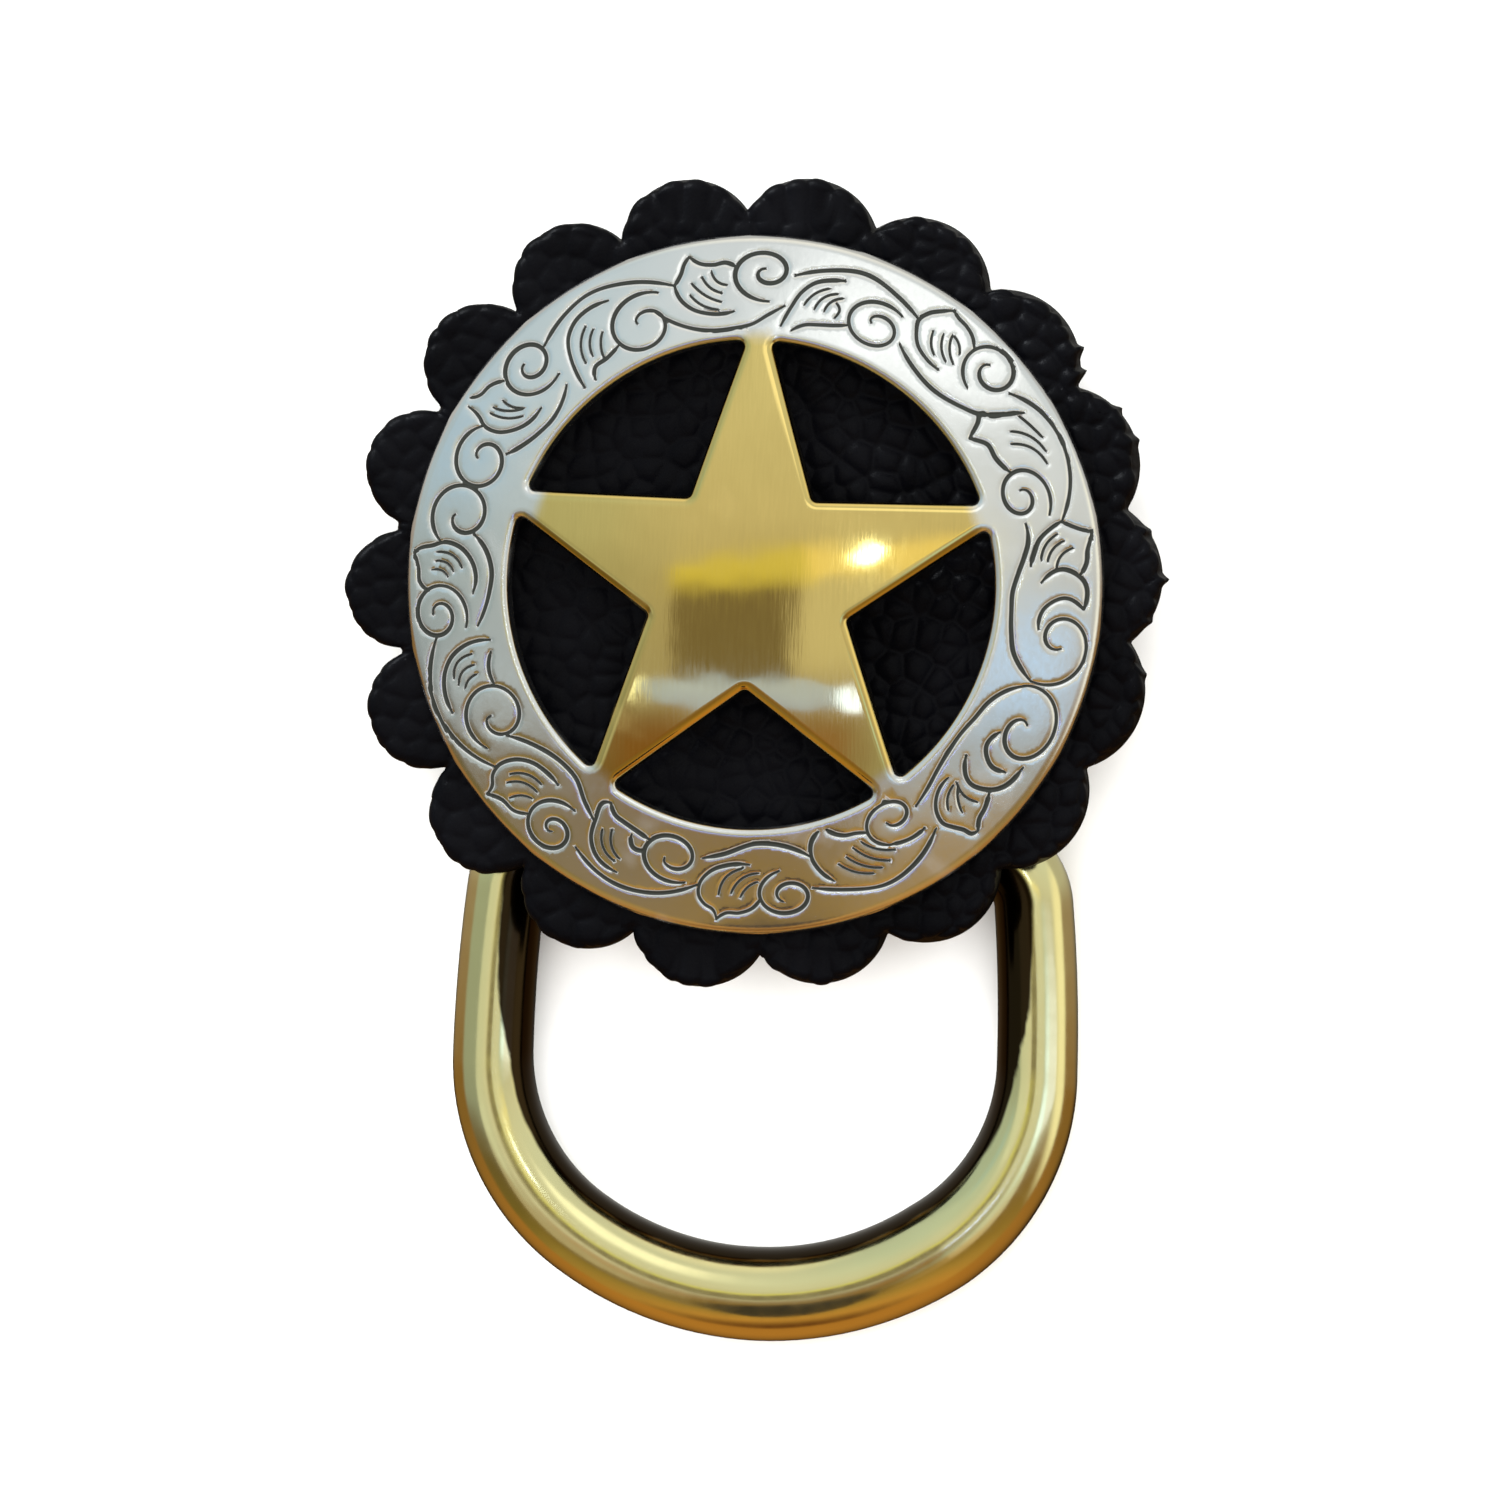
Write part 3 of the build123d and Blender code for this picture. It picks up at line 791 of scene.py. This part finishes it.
# Inside them the points stand close where the leather shows, and wide apart under the metal
shown_spacing, covered_spacing = 0.155, 0.7
shown_past_ring = 18.2
shown_in_gaps = (3.4, 14.0)
covered_by_star = 0.8
clear_of_hole = 3.1
clear_of_edge = 1.3 * leather_edge_round
loose = []
for spacing in (shown_spacing, covered_spacing):
    count = int(net_reach / spacing)
    for j in range(-count, count + 1):
        for i in range(-count, count + 1):
            x, y = (i + 0.5 * (j % 2)) * spacing, j * spacing * net_row
            radius = hypot(x, y)
            in_gap = shown_in_gaps[0] < radius < shown_in_gaps[1]
            in_gap = in_gap and depth_in_star(np.array([(x, y)]))[0] < covered_by_star
            shown = radius > shown_past_ring or in_gap
            if shown == (spacing == shown_spacing) and radius > clear_of_hole:
                loose.append((x, y))
loose = np.array(loose)
clock, radius = clock_and_radius(loose - np.array(rosette_shift))
loose = loose[radius < outline_radius(clock) - clear_of_edge]

leather_mesh = bmesh.new()
leather_verts = fill_flat(leather_mesh, outline, [hole], rows, [], loose)
for i, vert in enumerate(leather_verts):
    share = inset_shares[i] if i < len(inset_shares) else 1.0
    drop = pebble_drop(vert.co.x, vert.co.y)
    outward = 1 - share
    level = sqrt(max(0, 1 - outward**2))
    vert.co.z = leather_top - round_drop(share * leather_edge_round, leather_edge_round) - drop * level
    if outward:
        vert.co.xy *= 1 - drop * outward / hypot(*vert.co.xy)

# The cut edge goes down to a rounded lower edge, and the underside is flat
bottom = leather_top - leather_thickness
middle_height = bottom + leather_thickness / 2
middle_inset, low_inset = 0.06, 0.1
mid_edge = wall_below(leather_mesh, leather_verts[:len(outline)], lambda radius: middle_height)
low_edge = wall_below(leather_mesh, mid_edge, lambda radius: bottom + leather_edge_round)
for wall_row, inset in ((mid_edge, middle_inset), (low_edge, low_inset)):
    for vert, place in zip(wall_row, outline_row(inset)):
        vert.co.xy = place
for share in edge_shares[1:]:
    tops = low_edge
    low_edge = wall_below(leather_mesh, tops, lambda radius: bottom)
    for foot, place in zip(low_edge, outline_row(share * leather_edge_round)):
        foot.co.xy = place
        foot.co.z = bottom + round_drop(share * leather_edge_round, leather_edge_round)
hole_top = leather_verts[len(outline):len(outline) + len(hole)]
hole_foot = wall_below(leather_mesh, hole_top, lambda radius: bottom)
under_radii, under_density = np.arange(4.0, 18.6, 1.4), 4
under_points = ring_net(under_radii, under_density)
under_outline, under_hole = (np.array([vert.co.xy for vert in row]) for row in (low_edge, hole_foot))
under_verts = fill_flat(leather_mesh, under_outline, [under_hole], [], [], under_points)
for vert in set(under_verts):
    vert.co.z = bottom
bmesh.ops.remove_doubles(leather_mesh, verts=leather_mesh.verts, dist=weld_distance)
bmesh.ops.recalc_face_normals(leather_mesh, faces=leather_mesh.faces)
rosette = finish_mesh(leather_mesh, "pebbled_rosette")

deep_dye = (0.0009, 0.0009, 0.0014, 1)
pale_dye = (0.0018, 0.0018, 0.0026, 1)
leather, tree, shader, place = new_material("black_pebbled_leather")
pores = add_node(tree, "ShaderNodeTexVoronoi", {"Vector": place, "Scale": 5200.0}, feature="F1")
wrinkle = noise(tree, place, 2400.0, 4.0)
cloud = noise(tree, place, 160.0, 2.0)
height = arithmetic(tree, "ADD", wrinkle, arithmetic(tree, "MULTIPLY", pores.outputs["Distance"], 0.5))
set_inputs(tree, shader, {
    "Base Color": mix_colours(tree, remap(tree, cloud, 0.35, 0.65), deep_dye, pale_dye),
    "Roughness": remap(tree, wrinkle, 0.3, 0.7, 0.34, 0.48),
    "Specular IOR Level": 0.05,
    "Normal": bumped(tree, height, 0.3, 0.00005),
})
rosette.data.materials.append(leather)
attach(rosette, "base")
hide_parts("leather_rosette")

# The dee is one round brass wire, closed on itself, swelling round its bow. It is cast, polished and
# plated pale gold, and turns on its straight bar in the folded clip behind the leather.
bar_y = -14.2
bar_height = 3.05
side_shift = 0.8
dee_half_width = 15.1
widest_reach = 12.1
bow_depth = 12.9
bow_side_radius = 11.9
leg_radius = 90.0
corner_radius = 3.2
rest_gap = 0.02
wire_diameters = {"bar": 4.3, "leg": 4.47, "left": 4.9, "right": 5.3, "bottom": 5.2}

side_centre_x = dee_half_width - bow_side_radius
side_inset = bow_depth - bow_side_radius
bow_end_radius = (side_centre_x**2 + bow_depth**2 - bow_side_radius**2) / (2 * side_inset)
bow_end_y = -widest_reach - bow_depth + bow_end_radius
leg_centre_x = dee_half_width - leg_radius
corner_x = leg_centre_x + sqrt((leg_radius - corner_radius) ** 2 - (widest_reach - corner_radius) ** 2)
leg_turn = atan((widest_reach - corner_radius) / (corner_x - leg_centre_x))
join_bearing = np.arctan2(-widest_reach - bow_end_y, side_centre_x)
droop = np.arcsin((bar_height - wire_diameters["bottom"] / 2 - rest_gap) / (widest_reach + bow_depth))


def arc_points(centre_x, centre_y, radius, start, end, count):
    """Points along an arc, at even steps."""
    bearing = np.linspace(start, end, count)
    return np.stack((centre_x + radius * np.cos(bearing), centre_y + radius * np.sin(bearing)), axis=1)


bar_line = np.stack((np.linspace(0, corner_x, 8), np.zeros(8)), axis=1)
half_line = np.concatenate((
    bar_line[:-1],
    arc_points(corner_x, -corner_radius, corner_radius, pi / 2, leg_turn, 16)[:-1],
    arc_points(leg_centre_x, -widest_reach, leg_radius, leg_turn, 0, 16)[:-1],
    arc_points(side_centre_x, -widest_reach, bow_side_radius, 0, join_bearing, 28)[:-1],
    arc_points(0, bow_end_y, bow_end_radius, join_bearing, -pi / 2, 16),
))
along = length_along(half_line)
# The points where the bar starts and ends, the leg ends, the bow's side ends and the bow ends
measured_points = [0, 7, 37, 64, 79]


def half_diameters(bow):
    """The wire's diameter at each point of one half."""
    sizes = [wire_diameters[part] for part in ("bar", "bar", "leg", bow, "bottom")]
    return np.interp(along, along[measured_points], sizes)


wire_line = np.concatenate((half_line, half_line[-2:0:-1] * (-1, 1)))
wire_sizes = np.concatenate((half_diameters("right"), half_diameters("left")[-2:0:-1]))
wire = bpy.data.curves.new("dee_wire", "CURVE")
wire.dimensions = "3D"
wire.bevel_depth = 0.001
wire.bevel_resolution = 16
spline = wire.splines.new("POLY")
spline.points.add(len(wire_line) - 1)
spline.use_cyclic_u = True
for point, (x, y), diameter in zip(spline.points, wire_line, wire_sizes):
    point.co = (
        (side_shift + x) / 1000, (bar_y + y * cos(droop)) / 1000, (bar_height + y * sin(droop)) / 1000, 1
    )
    point.radius = diameter / 2
wire_object = add_object("dee_wire", wire)
bpy.context.view_layer.update()
dee_data = bpy.data.meshes.new_from_object(wire_object)
bpy.data.objects.remove(wire_object)
dee_data.shade_smooth()

# The inner side is painted dark brown, a painted reflection of the black leather and of the shade inside
# the loop, widest beside the leather and narrower round the bow
painted_reflection_down = (0.1, 0.35, 0.5, 0.75, 1.0)
painted_reflection_start = (-0.12, 0.05, 0.42, 0.6, 0.66)
painted_reflection_edge = 0.2
painted_dark_reflection = dee_data.attributes.new("painted_dark_reflection", "FLOAT", "POINT")
for vert, value in zip(dee_data.vertices, painted_dark_reflection.data):
    inward = Vector((side_shift / 1000, (bar_y - widest_reach) / 1000)) - vert.co.xy
    down = (bar_y - vert.co.y * 1000) / (widest_reach + bow_depth)
    starts = np.interp(down, painted_reflection_down, painted_reflection_start)
    lean = vert.normal.xy.dot(inward.normalized())
    value.value = min(1, max(0, (lean - starts) / painted_reflection_edge))
dee = add_object("gold_dee", dee_data)

pale_gold = (0.82, 0.76, 0.40, 1)
deeper_gold = (0.78, 0.69, 0.33, 1)
painted_reflection_colour = (0.030, 0.019, 0.008, 1)
polish, tree, shader, place = new_material("polished_pale_gold")
wire_scratches, wire_patches = place_grain(tree, place, (900, 900, 900))
ripple = noise(tree, place, 420.0, 1.0)
tone = mix_colours(tree, remap(tree, wire_patches, 0.35, 0.65, 0, 0.25), pale_gold, deeper_gold)
# The painted dark reflection on the inner side is mixed over the gold, its edge made uneven by the ripple
inner = add_node(tree, "ShaderNodeAttribute", attribute_name="painted_dark_reflection").outputs["Fac"]
uneven = arithmetic(tree, "ADD", inner, remap(tree, ripple, 0.3, 0.7, -0.1, 0.1))
rippled = bumped(tree, ripple, 0.28, 0.00006)
set_inputs(tree, shader, {
    "Base Color": mix_colours(tree, remap(tree, uneven, 0.3, 0.7, smooth=True), tone, painted_reflection_colour),
    "Metallic": 1,
    "Roughness": remap(tree, wire_scratches, 0.35, 0.7, 0.13, 0.19),
    "Normal": bumped(tree, wire_scratches, 0.2, 0.00001, rippled),
})
dee.data.materials.append(polish)
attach(dee, "dee")
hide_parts("dee")

# The folded clip and the screw are nickel-plated steel. The clip is a strip bent round the dee's bar,
# with both leaves on the post, and the screw's flat head holds everything on the casting.
nickel_colour = (0.62, 0.60, 0.56, 1)
bright_nickel = (0.70, 0.68, 0.64, 1)
nickel, tree, shader, place = new_material("nickel_plate")
nickel_scratches, nickel_patches = place_grain(tree, place, (2600, 2600, 2600))
set_inputs(tree, shader, {
    "Base Color": mix_colours(tree, remap(tree, nickel_patches, 0.35, 0.65), nickel_colour, bright_nickel),
    "Metallic": 1,
    "Roughness": remap(tree, nickel_scratches, 0.3, 0.7, 0.22, 0.38),
    "Normal": bumped(tree, nickel_scratches, 0.08, 0.00002),
})
for name in ("dee_clip", "back_screw"):
    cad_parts[name].data.materials.clear()
    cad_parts[name].data.materials.append(nickel)

# The floor is a plain board covered with pale paper. The metals don't mirror it: below the horizon
# they mirror the low part of the room instead.
floor_half_size = 1500
floor_mesh = bmesh.new()
bmesh.ops.create_grid(floor_mesh, x_segments=1, y_segments=1, size=floor_half_size)
floor = finish_mesh(floor_mesh, "floor")
floor.visible_glossy = False
pale, tree, shader, place = new_material("pale_floor")
paper = mix_colours(tree, noise(tree, place, 900.0, 3.0), (0.90, 0.90, 0.90, 1), (0.93, 0.93, 0.93, 1))
set_inputs(tree, shader, {"Base Color": paper, "Roughness": 0.9, "Specular IOR Level": 0.1})
floor.data.materials.append(pale)

# A small oval card of black paper hangs in front of the dee's bow, out of the camera's sight. Only the
# metals mirror it, and it draws the dark line along the bow.
card_half_width, card_half_length = 17, 28
card_place = (0, -92, 60)
card_mesh = bmesh.new()
bmesh.ops.create_circle(card_mesh, cap_ends=True, segments=32, radius=1)
bmesh.ops.scale(card_mesh, vec=(card_half_width, card_half_length, 1), verts=card_mesh.verts)
bmesh.ops.translate(card_mesh, vec=card_place, verts=card_mesh.verts)
card = finish_mesh(card_mesh, "black_card")
card.visible_camera = False
card.visible_diffuse = False
card.visible_shadow = False
black, tree, shader, _ = new_material("black_card")
set_inputs(tree, shader, {"Base Color": (0.02, 0.015, 0.012, 1), "Roughness": 1})
card.data.materials.append(black)

# The room is grey-white behind, tan towards the viewer's side and orange low in front, as the metals
# mirror it. Windows, pale walls and the dark back of the camera with its stand are oblongs in it.
world = bpy.data.worlds.new("studio")
bpy.context.scene.world = world
world.use_nodes = True
tree = world.node_tree
direction = add_node(tree, "ShaderNodeTexCoord").outputs["Generated"]
across, upward, height = add_node(tree, "ShaderNodeSeparateXYZ", {0: direction}).outputs
ahead = remap(tree, upward, 1, -1)
room = add_node(tree, "ShaderNodeValToRGB", {"Fac": ahead})
room_colours = (
    (0.0, (1.1, 1.05, 0.9)), (0.1, (0.72, 0.75, 0.74)), (0.25, (0.76, 0.80, 0.78)),
    (0.42, (0.74, 0.74, 0.68)), (0.5, (0.60, 0.58, 0.50)), (0.61, (0.52, 0.50, 0.46)),
    (0.65, (0.34, 0.26, 0.19)), (0.71, (0.26, 0.16, 0.06)), (0.77, (0.28, 0.175, 0.05)),
    (0.82, (0.31, 0.19, 0.045)), (0.88, (0.44, 0.27, 0.07)), (0.95, (0.60, 0.30, 0.07)),
    (1.0, (0.10, 0.03, 0.01)),
)
stops = room.color_ramp.elements
while len(stops) < len(room_colours):
    stops.new(0.5)
for stop, (position, colour) in zip(stops, room_colours):
    stop.position = position
    stop.color = (*colour, 1)
sky = room.outputs["Color"]
left_side = remap(tree, across, -0.15, -0.5, smooth=True)
sky = mix_colours(tree, left_side, sky, (0.80, 0.89, 0.93, 1), "MULTIPLY")
far_left = remap(tree, across, -0.58, -0.72, smooth=True)
sky = mix_colours(tree, far_left, sky, (0.80, 0.84, 0.86, 1), "MULTIPLY")
low_right = remap(tree, across, 0.8, 0.95, smooth=True)
sky = mix_colours(tree, low_right, sky, (1.1, 1.05, 0.85, 1))

# What stands in the room, by how far it reaches west, east, south and north of straight above: its
# soft edge, its colour, how strongly it shows, and its lean
reflected_things = (
    (-0.02, 0.64, 0.45, 1.0, 0.12, (1.4, 1.42, 1.38), 0.9, 0.0),
    (0.18, 0.75, -0.62, -0.27, 0.1, (0.50, 0.57, 0.56), 0.8, 0.0),
    (-1.05, -0.55, -0.42, -0.2, 0.1, (0.56, 0.62, 0.60), 0.85, 0.0),
    (0.44, 0.74, -0.32, -0.05, 0.07, (0.66, 0.95, 1.25), 0.85, 0.0),
    (0.25, 0.65, -0.95, -0.52, 0.1, (0.46, 0.30, 0.12), 0.85, 0.0),
    (-0.90, -0.30, -1.1, -0.52, 0.1, (0.27, 0.20, 0.11), 0.85, 0.0),
    (-1.2, -0.85, 0.2, 0.65, 0.1, (0.45, 0.64, 0.76), 0.8, 0.0),
    (0.01, 0.40, -0.19, 0.04, 0.04, (0.76, 0.77, 0.72), 0.9, 0.0),
    (-0.42, -0.20, -0.50, -0.34, 0.04, (0.27, 0.13, 0.03), 0.8, 0.0),
    (-0.02, 0.13, -0.48, -0.34, 0.04, (0.36, 0.20, 0.09), 0.7, 0.0),
    (-0.262, 0.013, -0.21, 0.025, 0.012, (0.24, 0.21, 0.15), 1.0, 0.0),
    (-0.27, 0.06, 0.008, 0.078, 0.025, (0.86, 0.82, 0.24), 0.9, 0.11),
    (0.03, 0.5, 0.012, 0.082, 0.02, (1.2, 1.08, 0.58), 0.85, 0.11),
)
overhead = remap(tree, height, 0.35, 0.45)
slope_across = arithmetic(tree, "DIVIDE", across, height)
slope_upward = arithmetic(tree, "DIVIDE", upward, height)
for west, east, south, north, soft, colour, share, lean in reflected_things:
    mask = overhead
    level = arithmetic(tree, "SUBTRACT", slope_upward, arithmetic(tree, "MULTIPLY", slope_across, lean))
    for slope, low, high in ((slope_across, west, east), (level, south, north)):
        mask = arithmetic(tree, "MULTIPLY", mask, remap(tree, slope, low - soft, low + soft, smooth=True))
        mask = arithmetic(tree, "MULTIPLY", mask, remap(tree, slope, high + soft, high - soft, smooth=True))
    sky = mix_colours(tree, arithmetic(tree, "MULTIPLY", mask, share), sky, (*colour, 1))

# Below the horizon the room is brown at its sides, orange in front and pale behind
side_floor = remap(tree, arithmetic(tree, "ABSOLUTE", across), 0.3, 0.8, smooth=True)
low = mix_colours(tree, side_floor, (0.03, 0.02, 0.012, 1), (0.26, 0.14, 0.04, 1))
low = mix_colours(tree, remap(tree, upward, -0.3, -0.9), low, (0.50, 0.22, 0.045, 1))
low = mix_colours(tree, remap(tree, upward, -0.1, 0.3), low, (0.55, 0.54, 0.50, 1))
sky = mix_colours(tree, remap(tree, height, -0.08, 0.12, smooth=True), low, sky)
set_inputs(tree, tree.nodes["Background"], {"Color": sky, "Strength": 1.0})


# The lights are soft ovals. One is the light from overhead, and the others stand for the lamps,
# windows and pale panels that show as glints; some of them reach one piece only.
def soft_light(name, place, size, brightness, colour=(1, 1, 1), turn=0.0, mirrored=True, only_on=None):
    """An oval soft light that faces the middle of the piece, its width along X before it is turned."""
    data = bpy.data.lights.new(name, "AREA")
    data.shape = "ELLIPSE"
    data.size, data.size_y = size
    data.energy = brightness * pi * (pi / 4 * size[0] * size[1])
    data.color = colour
    light = add_object(name, data)
    facing = Vector(place).normalized()
    level = (Vector((1, 0, 0)) - facing * facing.x).normalized()
    level.rotate(Matrix.Rotation(radians(turn), 3, facing))
    axes = Matrix((level, facing.cross(level), facing)).transposed()
    light.matrix_world = Matrix.Translation(place) @ axes.to_4x4()
    light.visible_glossy = mirrored
    if only_on:
        lit = bpy.data.collections.new(name)
        lit.objects.link(only_on)
        light.light_linking.receiver_collection = lit


soft_light("overhead", (-0.1, 0.15, 0.9), (1.9, 1.9), 3.3, mirrored=False)
soft_light("side_window", (-0.36, 0.46, 0.24), (0.26, 0.26), 26, (0.9, 0.95, 1), only_on=rosette)
soft_light("lamp_glint", (0.109, 0.048, 0.6), (0.05, 0.024), 9, (0.62, 0.78, 1), turn=20)
soft_light("window_glint", (0.092, -0.154, 0.6), (0.034, 0.03), 5.5, (0.24, 0.36, 1))
soft_light("edge_glint", (-0.218, -0.152, 0.6), (0.012, 0.04), 2.5, (0.7, 0.85, 1), -30, only_on=concho)
soft_light("window_strip", (-0.052, -0.150, 0.6), (0.30, 0.05), 1.35, (0.06, 0.23, 1), only_on=concho)
soft_light("left_panel", (-0.33, -0.19, 0.6), (0.46, 0.6), 0.25, (1, 0.97, 0.9), only_on=dee)
soft_light("right_panel", (0.33, -0.30, 0.6), (0.26, 0.34), 0.25, (1, 0.97, 0.95), only_on=dee)
soft_light("right_window", (0.55, -0.11, 0.6), (0.54, 0.17), 1.0, (0.5, 0.6, 1), only_on=dee)
bpy.context.scene.view_settings.view_transform = "Standard"

# The camera looks at the face almost squarely, from a little to its right, as the photograph's did.
# Its lens and shift give the photograph's framing.
camera_distance = 0.45
camera_side_angle = radians(5.2)
camera_roll = radians(-1.9)
photo_size = 1512
axis_pixel = (754.0, 584.6)
pixels_per_metre = 18370
sensor_width = 36
camera_data = bpy.data.cameras.new("camera")
camera = add_object("camera", camera_data)
bpy.context.scene.camera = camera
aim = Vector((0, 0, 0.01))
away = Vector((sin(camera_side_angle), 0, cos(camera_side_angle)))
right = Vector((cos(camera_side_angle), 0, -sin(camera_side_angle)))
up = away.cross(right)
turn = Matrix.Rotation(-camera_roll, 3, away)
right = turn @ right
up = turn @ up
facing = Matrix((right, up, away)).transposed().to_4x4()
camera.matrix_world = Matrix.Translation(aim + away * camera_distance) @ facing
camera_data.sensor_fit = "HORIZONTAL"
camera_data.sensor_width = sensor_width
camera_data.lens = sensor_width * camera_distance * pixels_per_metre / photo_size
camera_data.shift_x = (photo_size / 2 - axis_pixel[0]) / photo_size
camera_data.shift_y = (axis_pixel[1] - photo_size / 2) / photo_size
camera_data.clip_start = 0.01
